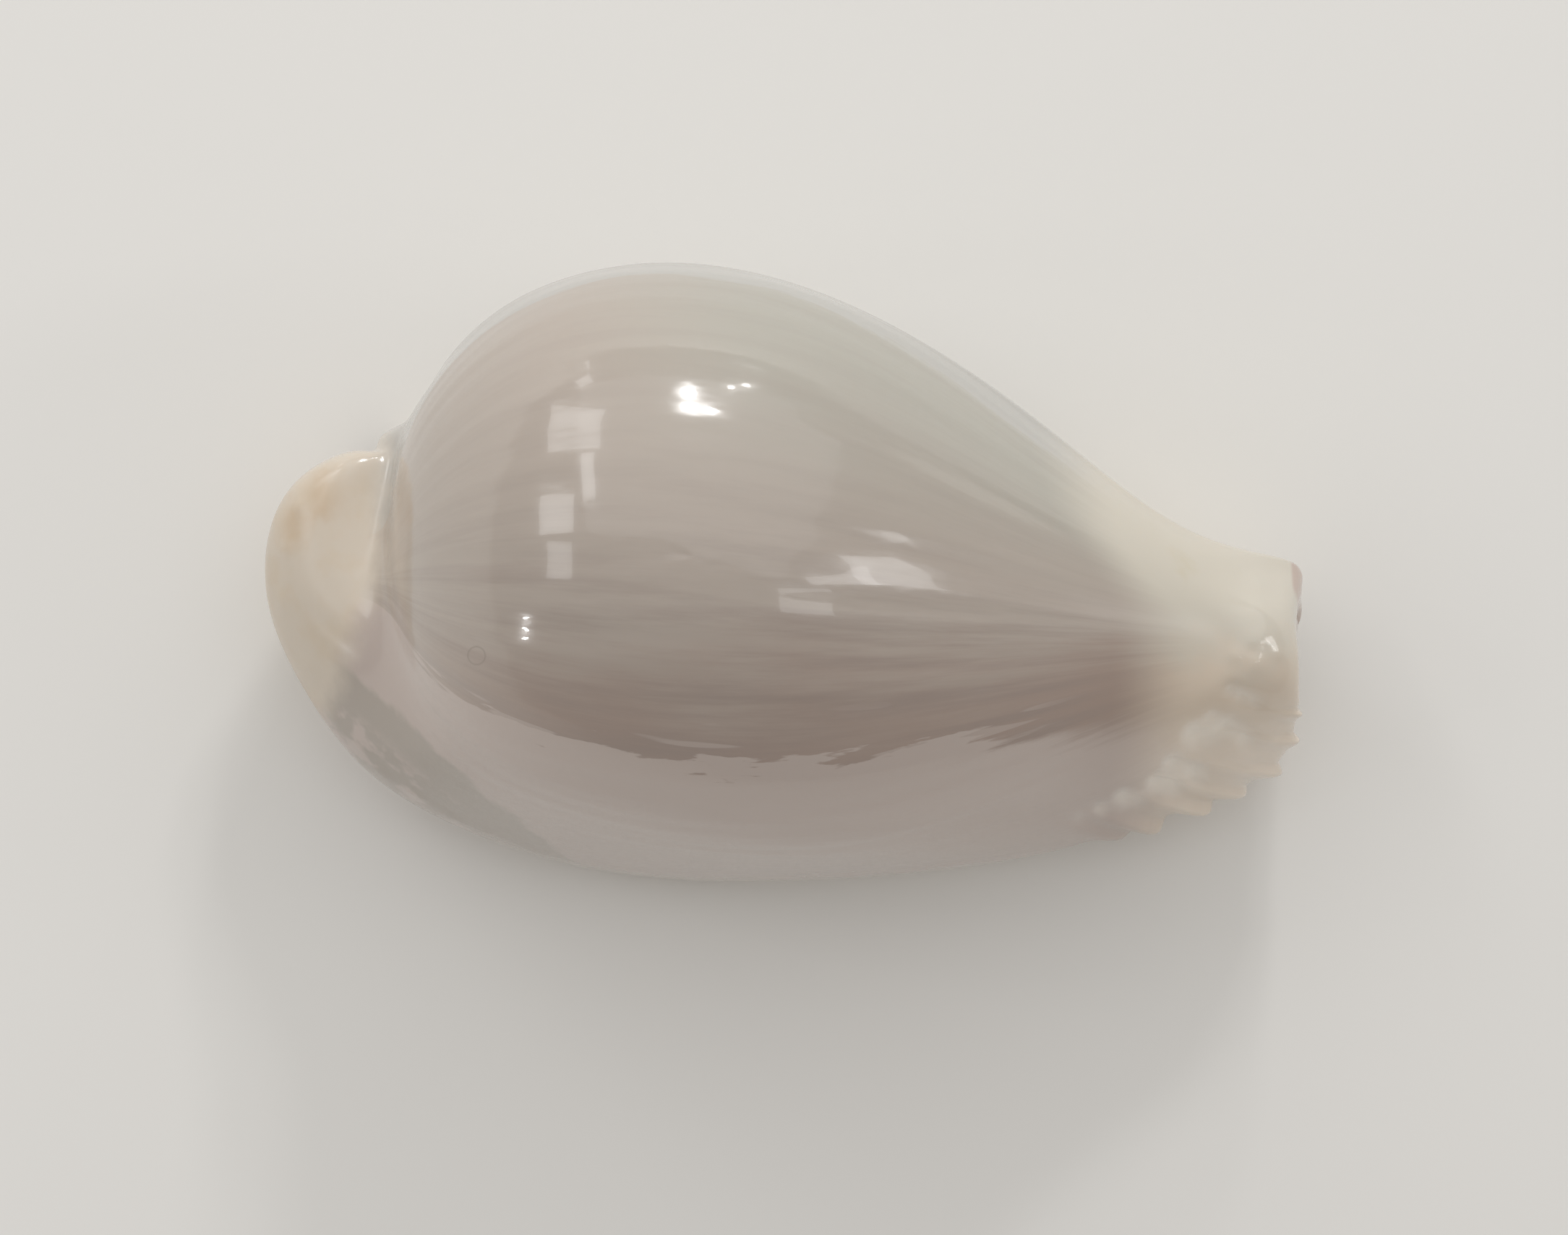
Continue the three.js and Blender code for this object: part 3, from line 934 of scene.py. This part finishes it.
    # Relief of the waves and the streaks, and where near the axis both fade, not to crowd there.
    wave_height: float = 0.07
    streak_height: float = 0.006
    relief_spread: Span = (9.0, 20.0)
    ior: float = 1.6
    coat_ior: float = 1.5
    clear_share: float = 0.12
    clear_depth: float = 1.5
    clear_tint: tuple[float, float, float] = (1.0, 0.75, 0.6)

    def material(self) -> bpy.types.Material:
        """Builds the material.

        Returns:
            The new material.
        """
        made = bpy.data.materials.new(self.name)
        made.use_nodes = True
        made.node_tree.nodes.clear()
        EnamelShader(self, made.node_tree).build()
        return made


class EnamelShader:
    """The enamel's nodes. A zone's layers are shares of the surface, each with its tint."""

    def __init__(self, finish: Enamel, tree: bpy.types.NodeTree) -> None:
        """Adds the places and noises that the zones read.

        Args:
            finish: the enamel.
            tree: the empty node tree.
        """
        self.finish = finish
        self.add = add = partial(add_node, tree)
        self.where = add("TexCoord", output="Object")
        centred = metres((0.0, AXIS_ASIDE, -AXIS_UP))
        moved = {"Location": centred, "Rotation": (0.0, 0.0, AXIS_SLOPE)}
        turned = add("Mapping", {"Vector": self.where, **moved})
        along, side, up = add("SeparateXYZ", [turned]).node.outputs
        self.along = add("Math", (along, 1 / MM), **TIMES)
        self.around = add("Math", (side, up), operation="ARCTAN2")
        squares = [add("Math", (part, 2.0), operation="POWER") for part in (side, up)]
        self.from_axis = add("Math", [add("Math", squares, **PLUS)], operation="SQRT")
        x, y, self.z = add("SeparateXYZ", [self.where]).node.outputs
        self.x, self.y = (add("Math", (part, 1 / MM), **TIMES) for part in (x, y))
        self.streaks, self.tones = self.grown(finish.streaks), self.grown(finish.tones)
        kind = {"Detail": finish.cloud_detail, "Roughness": finish.cloud_roughness}
        self.clouds = add("TexNoise", {"Vector": self.where, "Scale": finish.cloud_scale, **kind})
        shift = add("Math", (self.clouds, 0.5), **MINUS)
        self.shift = add("Math", (shift, finish.cloud_shift), **TIMES)
        self.thick = add("Attribute", output="Fac", attribute_name=CALLUS)

    def grown(self, grain: Grain) -> Socket:
        """Adds a noise along the growth lines.

        Args:
            grain: its kind.

        Returns:
            The noise, 0 to 1.
        """
        along = self.add("Math", (self.along, grain.length), operation="DIVIDE")
        around = self.add("Math", (self.around, self.finish.back_radius / grain.width), **TIMES)
        place = self.add("CombineXYZ", (along, around, grain.seed))
        kind = {"Scale": 1.0, "Detail": grain.detail, "Roughness": grain.roughness}
        return self.add("TexNoise", {"Vector": place, **kind})

    def cloud(self, cloud: Cloud, share: float) -> Socket:
        """Adds a ragged cloud.

        Args:
            cloud: its place and reach.
            share: how full it is at its middle.

        Returns:
            Its share of the surface.
        """
        gap = self.add("VectorMath", (self.where, metres(cloud.at)), **GAP)
        gap = self.add("Math", (gap, 1 / MM), **TIMES)
        gap = self.add("Math", (gap, self.shift), **PLUS)
        inside = self.add("MapRange", (gap, cloud.reach, 0.0), **STEP)
        return self.add("Math", (inside, share), **TIMES)

    def held(self, share: Input, *zones: tuple[Socket, Span]) -> Input:
        """Holds a share of the surface to some zones.

        Args:
            share: the share.
            zones: the place that each reads, with where it begins and where it is full.

        Returns:
            The share inside all of them.
        """
        for place, zone in zones:
            inside = self.add("MapRange", (place, *zone), **STEP)
            share = self.add("Math", (share, inside), **TIMES)
        return share

    def layered(self, colour: Input, layers: Layers) -> Input:
        """Lays tints over a colour.

        Args:
            colour: the colour underneath.
            layers: each layer's share and tint, from the lowest.

        Returns:
            The colour on top.
        """
        for share, tint in layers:
            colour = self.add("Mix", {0: share, 6: colour, 7: tint}, 2, data_type="RGBA")
        return colour

    def back_layers(self) -> Layers:
        """Adds the back's zones and its streaks.

        Returns:
            The layers. The first is the high zone, which the siphon end reads too.
        """
        add, finish = self.add, self.finish
        high = add("Math", (self.tones, finish.high_tone), **TIMES)
        high = add("Math", (self.around, high), **PLUS)
        high = add("MapRange", (high, *finish.high_turn), **STEP)
        high = self.held(high, (self.along, finish.high_along))

        wide, fine, less = finish.band_tones
        tones = ((self.tones, wide), (self.streaks, fine))
        tone = add("Math", [add("Math", pair, **TIMES) for pair in tones], **PLUS)
        tone = add("Math", (tone, less), **MINUS)
        band = add("Math", (self.around, tone), **MINUS)
        band = add("MapRange", (band, *finish.band_turn), **STEP)
        kept = add("MapRange", (self.along, *finish.band_along), **STEP)
        kept = add("Math", (kept, 1 - finish.band_rear, finish.band_rear), **TIMES_PLUS)
        band = add("Math", (band, kept), **TIMES)

        streaks = add("MapRange", (self.streaks, *finish.streak_tone), **STEP)
        streaks = add("Math", (streaks, finish.streak_share), **TIMES)
        side = add("MapRange", (self.around, *finish.streak_turn), **STEP)
        side = add("Math", (side, finish.streak_least), **PLUS)
        streaks = add("Math", (streaks, side), **TIMES)
        streaks = self.held(streaks, (self.along, finish.streak_along))
        return [
            (high, linear(finish.back_high)),
            (band, linear(finish.back_band)),
            (streaks, linear(finish.streak)),
        ]

    def callus_layers(self) -> Layers:
        """Adds the callus over the outer side and the paler one over the columella side, whose
        paleness is partly a painted reflection of the grazing rim.

        Returns:
            The layers.
        """
        add, finish = self.add, self.finish
        ragged = add("Math", (self.grown(finish.ragged), 0.5), **MINUS)
        ragged = self.held(ragged, (self.from_axis, metres(finish.ragged_spread)))

        edge = add("Math", (ragged, finish.ragged_share), **TIMES)
        edge = add("Math", (self.around, edge), **PLUS)
        ahead = add("MapRange", (self.along, *finish.ahead), **STEP)
        start = add("Math", (ahead, finish.ahead_turn), **TIMES)
        start = add("Math", (finish.callus_turn, start), **MINUS)
        soft = add("Math", (ahead, finish.ahead_soft), **TIMES)
        soft = add("Math", (finish.callus_soft, soft), **PLUS)
        callus = add("MapRange", (edge, start, add("Math", (start, soft), **MINUS)), **STEP)

        islands = add("MapRange", (self.grown(finish.islands), *finish.island_tone), **STEP)
        far = (self.from_axis, metres(finish.island_spread))
        islands = self.held(islands, (self.around, finish.island_turn), far)
        islands = add("Math", (islands, finish.island_share), **TIMES)
        callus = add("Math", (callus, islands), **LARGER)

        # Paler band high on the columella side: the callus's own tone plus a painted reflection of
        # the grazing rim.
        shoulder = add("Math", (ragged, finish.shoulder_ragged), **TIMES)
        shoulder = add("Math", (self.around, shoulder), **PLUS)
        shoulder = add("MapRange", (shoulder, *finish.shoulder_turn), **STEP)
        shoulder = add("Math", (shoulder, finish.shoulder_share), **TIMES)
        return [(callus, linear(finish.margin)), (shoulder, linear(finish.shoulder))]

    def flange_layers(self) -> Layers:
        """Adds the greyer outer lip and the rear flange.

        Returns:
            The layers. The last is the flange, which the glaze reads too.
        """
        add, finish = self.add, self.finish
        slant = zip((self.x, self.y, self.shift), finish.lip_slant)
        x, y, shift = (add("Math", pair, **TIMES) for pair in slant)
        outside = add("Math", (add("Math", (x, y), **PLUS), shift), **PLUS)
        blotches = add("MapRange", (self.clouds, *finish.blotch_tone), **STEP)
        blotches = self.held(blotches, (outside, finish.blotch_line))
        clear = add("Math", (1.0, blotches), **MINUS)
        lip = add("MapRange", (outside, *finish.lip_line), **STEP)
        lip = add("Math", (lip, clear), **TIMES)
        lip = self.held(lip, (self.z, metres(finish.lip_height)))

        fawn = add("MapRange", (self.clouds, *finish.fawn_tone), **STEP)
        layers = [(add("Math", (fawn, finish.fawn_share), **TIMES), linear(finish.fawn))]
        for cloud in finish.peach_clouds:
            layers.append((self.cloud(cloud, finish.peach_share), linear(finish.peach)))
        fall = add("Math", (self.y, 0.0), operation="MINIMUM")
        fall = add("Math", (fall, finish.flange_slope), **TIMES)
        flange = add("Math", (self.x, fall), **MINUS)
        ragged = add("Math", (self.shift, finish.flange_ragged), **TIMES)
        flange = add("Math", (flange, ragged), **PLUS)
        flange = add("MapRange", (flange, *finish.flange_along), **STEP)
        return [(lip, linear(finish.lip)), (flange, self.layered(linear(finish.cream), layers))]

    def siphon_layers(self, high: Socket) -> Layers:
        """Adds the siphon end, its knobs and its yellow clouds, with painted light on its lower
        side and a painted highlight on the knobs.

        Args:
            high: the back's high zone, beside which the siphon end's ivory begins sooner.

        Returns:
            The layers.
        """
        add, finish = self.add, self.finish
        sooner = add("Math", (high, finish.beak_high), **TIMES)
        later = add("Math", (self.streaks, finish.beak_streaks), **TIMES)
        beak = add("Math", (sooner, later), **MINUS)
        beak = add("Math", (self.x, beak), **PLUS)
        beak = add("MapRange", (beak, *finish.beak_along), **STEP)
        ragged = add("Math", (self.y, self.shift), **PLUS)
        # The tan below the ivory and the teeth's cream are lightened: painted light on this
        # downward side, over their own pale tones.
        low = add("MapRange", (ragged, *finish.tan_side), **STEP)
        outer = add("MapRange", (ragged, *finish.teeth_side), **STEP)
        outer = add("Math", (outer, finish.teeth_share), **TIMES)
        layers = [(low, linear(finish.tan)), (outer, linear(finish.teeth))]
        # Paler on the knobs: their pale callus, with a painted highlight in place of their glints
        # and shading.
        knobs = add("MapRange", (self.thick, *finish.knob_thick), **STEP)
        knobs = add("Math", (knobs, finish.knob_share), **TIMES)
        made = [(beak, self.layered(linear(finish.ivory), layers)), (knobs, linear(finish.knob))]
        for cloud in finish.yellow_clouds:
            made.append((self.cloud(cloud, finish.yellow_share), linear(finish.yellow)))
        return made

    def last_layers(self) -> Layers:
        """Adds the scuff on the back, the face in the siphon's mouth and the pale base.

        Returns:
            The layers.
        """
        add, finish = self.add, self.finish
        seen = add("CombineXYZ", (self.x, self.y))
        ring = add("VectorMath", (seen, finish.scuff_at), **GAP)
        ring = add("Math", (ring, finish.scuff_radius), **MINUS)
        ring = add("Math", [ring], operation="ABSOLUTE")
        scuff = add("MapRange", (ring, *finish.scuff_width), **STEP)
        scuff = self.held(scuff, (self.z, metres(finish.scuff_height)))
        scuff = add("Math", (scuff, finish.scuff_share), **TIMES)

        mouth = add("MapRange", (self.x, *finish.mouth_along), **STEP)
        face = (self.z, metres(finish.mouth_height))
        mouth = self.held(mouth, face, (self.y, finish.mouth_side))
        base = add("MapRange", (self.z, *metres(finish.base_height)), **STEP)
        return [
            (scuff, linear(finish.scuff)),
            (mouth, linear(finish.mouth)),
            (base, linear(finish.base)),
        ]

    def satin(self, flange: Socket) -> Socket:
        """Adds the mask of the satin glaze.

        Args:
            flange: the flange's share of the surface.

        Returns:
            How satin the glaze is, 0 to 1.
        """
        add, finish = self.add, self.finish
        neck = add("MapRange", (self.x, *finish.satin_along), **STEP)
        neck = self.held(neck, (self.thick, finish.satin_knob), (self.x, finish.satin_tip))
        flange = self.held(flange, (self.y, finish.satin_flange))
        return add("Math", (flange, neck), **LARGER)

    def relief(self) -> Socket:
        """Adds the callus's shallow waves and the streaks' own faint relief.

        Returns:
            The bent normal.
        """
        add, finish = self.add, self.finish
        spread = add("MapRange", (self.from_axis, *metres(finish.relief_spread)), **STEP)
        normal = {}
        for noise, height in (
            (self.grown(finish.waves), finish.wave_height),
            (self.streaks, finish.streak_height),
        ):
            level = add("Math", (noise, 0.5), **MINUS)
            level = add("Math", (level, spread), **TIMES)
            sizes = {"Strength": 1.0, "Distance": height * MM, "Height": level}
            normal = {"Normal": add("Bump", {**sizes, **normal})}
        return normal["Normal"]

    def build(self) -> None:
        """Adds every zone and the shader."""
        add, finish = self.add, self.finish
        back = self.back_layers()
        flange = self.flange_layers()
        high, flange_share = back[0][0], flange[-1][0]
        layers = [*back, *self.callus_layers(), *flange]
        layers += [*self.siphon_layers(high), *self.last_layers()]
        glaze = self.satin(flange_share)
        inputs = {
            "Base Color": self.layered(linear(finish.back), layers),
            "IOR": finish.ior,
            "Subsurface Weight": finish.clear_share,
            "Subsurface Radius": finish.clear_tint,
            "Subsurface Scale": finish.clear_depth * MM,
            "Coat IOR": finish.coat_ior,
            "Normal": self.relief(),
        }
        for name, (glass, more) in (
            ("Roughness", finish.roughness),
            ("Specular IOR Level", finish.specular),
            ("Coat Weight", finish.coat),
            ("Coat Roughness", finish.coat_roughness),
        ):
            inputs[name] = add("Math", (glaze, more, glass), **TIMES_PLUS)
        add("OutputMaterial", {"Surface": add("BsdfPrincipled", inputs)})


@dataclass
class CowrieShell:
    """The shell: one closed skin with its slit and hollow."""

    surface: Surface = field(default_factory=Surface)
    relief: Relief = field(default_factory=Relief)
    finish: Enamel = field(default_factory=Enamel)
    merge: float = 0.0002

    def build(self) -> bpy.types.Object:
        """Builds the shell's skin from a grid that is wrapped over the surface.

        Returns:
            The shell.
        """
        place, callus = self.relief.dress(self.surface)
        rows, columns = place.shape[0] - 1, place.shape[1] - 1
        bm = bmesh.new()
        thick = bm.verts.layers.float.new(CALLUS)
        bmesh.ops.create_grid(bm, x_segments=columns, y_segments=rows, size=1.0)
        for vert in bm.verts:
            column = round((vert.co.x + 1) / 2 * columns)
            row = round((vert.co.y + 1) / 2 * rows)
            vert.co = place[row, column] * MM
            vert[thick] = callus[row, column]
        # The grid's two side edges meet in a seam, and its two end edges close to a point each.
        bmesh.ops.remove_doubles(bm, verts=bm.verts, dist=self.merge * MM)
        bmesh.ops.recalc_face_normals(bm, faces=bm.faces)
        for face in bm.faces:
            face.smooth = True
        mesh = bpy.data.meshes.new("cowrie_shell")
        bm.to_mesh(mesh)
        bm.free()
        shell = bpy.data.objects.new("cowrie_shell", mesh)
        bpy.context.collection.objects.link(shell)
        return shell

    def dress(self, shell: bpy.types.Object) -> None:
        """Gives the shell its enamel and its place in the frame.

        Args:
            shell: the built shell.
        """
        shell.data.materials.append(self.finish.material())
        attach(shell, "root")
        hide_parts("shell")


class LampShape(Enum):
    """The outline of a lamp."""

    RECTANGLE = "RECTANGLE"
    DISK = "DISK"


@dataclass(frozen=True)
class Lamp:
    """A studio lamp that faces the shell's middle, in metres. A disk has one size."""

    name: str
    at: tuple[float, float, float]
    size: tuple[float, ...]
    radiance: float
    colour: str = "ffffff"
    shape: LampShape = LampShape.RECTANGLE
    roll: float = 0.0

    def build(self) -> None:
        """Hangs the lamp, with the power that its size needs for its radiance."""
        data = bpy.data.lights.new(self.name, "AREA")
        data.shape = self.shape.value
        data.size = self.size[0]
        area = math.pi / 4 * self.size[0] ** 2
        if self.shape is LampShape.RECTANGLE:
            data.size_y = self.size[1]
            area = self.size[0] * self.size[1]
        data.energy = self.radiance * math.pi * area
        data.color = linear(self.colour)[:3]
        lamp = bpy.data.objects.new(self.name, data)
        lamp.location = self.at
        lamp.rotation_mode = "QUATERNION"
        facing = (-Vector(self.at)).to_track_quat("-Z", "Y")
        lamp.rotation_quaternion = facing @ Quaternion((0, 0, 1), math.radians(self.roll))
        bpy.context.collection.objects.link(lamp)


@dataclass
class Studio:
    """A pale floor, soft lamps and a camera straight above. Its sizes are in metres."""

    floor_half: float = 3.0
    floor_colour: str = "f4f2ee"
    floor_roughness: float = 0.85
    # The strength and the colour of the room's even light.
    room: float = 0.42
    room_colour: str = "fbf9f6"
    camera_height: float = 0.9
    camera_clip: tuple[float, float] = (0.01, 20.0)
    sensor: float = 36.0
    # The camera frames this width at this height above the floor, about this middle.
    view_width: float = 0.1439
    view_level: float = 0.012
    view_centre: tuple[float, float] = (-0.0001, -0.0039)
    # One wide soft light, a cluster of bulbs, a window's panes at the rear, a skylight's wedge
    # ahead, and two sparks low down. All but the first are there for what the glaze mirrors.
    lamps: tuple[Lamp, ...] = (
        Lamp("soft_key", (0.15, 0.95, 1.15), (3.0, 2.4), 0.4),
        Lamp("bulb_a", (0.12, 0.76, 0.3), (0.06,), 40.0, shape=LampShape.DISK),
        Lamp("bulb_b", (0.13, 0.72, 0.4), (0.08,), 40.0, shape=LampShape.DISK),
        Lamp("bulb_c", (0.21, 0.71, 0.38), (0.07,), 40.0, shape=LampShape.DISK),
        Lamp("bulb_d", (0.27, 0.75, 0.21), (0.03,), 25.0, shape=LampShape.DISK),
        Lamp("bulb_e", (0.31, 0.74, 0.16), (0.03,), 25.0, shape=LampShape.DISK),
        Lamp("pane_top", (-0.38, 0.73, 0.1), (0.09, 0.1), 2.0),
        Lamp("pane_high", (-0.5, 0.59, 0.32), (0.4, 0.18), 2.0, roll=135.0),
        Lamp("pane_middle", (-0.48, 0.39, 0.57), (0.33, 0.1), 2.4, roll=43.0),
        Lamp("pane_low", (-0.68, 0.18, 0.47), (0.28, 0.2), 2.2, roll=105.0),
        Lamp("pane_foot", (-0.67, -0.06, 0.51), (0.2, 0.1), 1.8, roll=83.0),
        Lamp("wedge_tail", (0.55, -0.13, 0.61), (0.2, 0.02), 2.4, roll=112.0),
        Lamp("wedge", (0.65, -0.01, 0.52), (0.24, 0.06), 2.6, roll=112.0),
        Lamp("wedge_head", (0.72, 0.08, 0.4), (0.2, 0.12), 2.6, roll=110.0),
        Lamp("spot_a", (-0.75, -0.31, 0.19), (0.03, 0.006), 60.0, roll=65.0),
        Lamp("spot_b", (-0.745, -0.31, 0.205), (0.03, 0.006), 60.0, roll=65.0),
    )

    def build_floor(self) -> None:
        """Lays the floor, matt pale card that mirrors nothing."""
        bm = bmesh.new()
        bmesh.ops.create_grid(bm, x_segments=1, y_segments=1, size=self.floor_half)
        mesh = bpy.data.meshes.new("floor")
        bm.to_mesh(mesh)
        bm.free()
        floor = bpy.data.objects.new("floor", mesh)
        bpy.context.collection.objects.link(floor)
        made = bpy.data.materials.new("matt_card")
        made.use_nodes = True
        tree = made.node_tree
        tree.nodes.clear()
        card = {"Base Color": linear(self.floor_colour), "Roughness": self.floor_roughness}
        add_node(tree, "OutputMaterial", {"Surface": add_node(tree, "BsdfPrincipled", card)})
        mesh.materials.append(made)

    def build_light(self) -> None:
        """Hangs the lamps and sets the room's even light."""
        for lamp in self.lamps:
            lamp.build()
        world = bpy.data.worlds.new("room")
        world.use_nodes = True
        tree = world.node_tree
        tree.nodes.clear()
        even = {"Color": linear(self.room_colour), "Strength": self.room}
        add_node(tree, "OutputWorld", {"Surface": add_node(tree, "Background", even)})
        bpy.context.scene.world = world
        bpy.context.scene.view_settings.view_transform = "Standard"

    def build_camera(self) -> None:
        """Sets the camera over the shell, looking straight down."""
        data = bpy.data.cameras.new("camera")
        data.sensor_width = self.sensor
        data.lens = self.sensor * (self.camera_height - self.view_level) / self.view_width
        data.clip_start, data.clip_end = self.camera_clip
        camera = bpy.data.objects.new("camera", data)
        camera.location = (*self.view_centre, self.camera_height)
        bpy.context.collection.objects.link(camera)
        bpy.context.scene.camera = camera


def main() -> None:
    """Builds the shell and its studio."""
    logging.basicConfig(level=logging.INFO, format="%(message)s")
    maker = CowrieShell()
    shell = maker.build()
    maker.dress(shell)
    log.info("%s: %d faces", shell.name, len(shell.data.polygons))
    studio = Studio()
    studio.build_floor()
    studio.build_light()
    studio.build_camera()
    log.info("studio: %d lamps", len(studio.lamps))


if __name__ == "__main__":
    main()
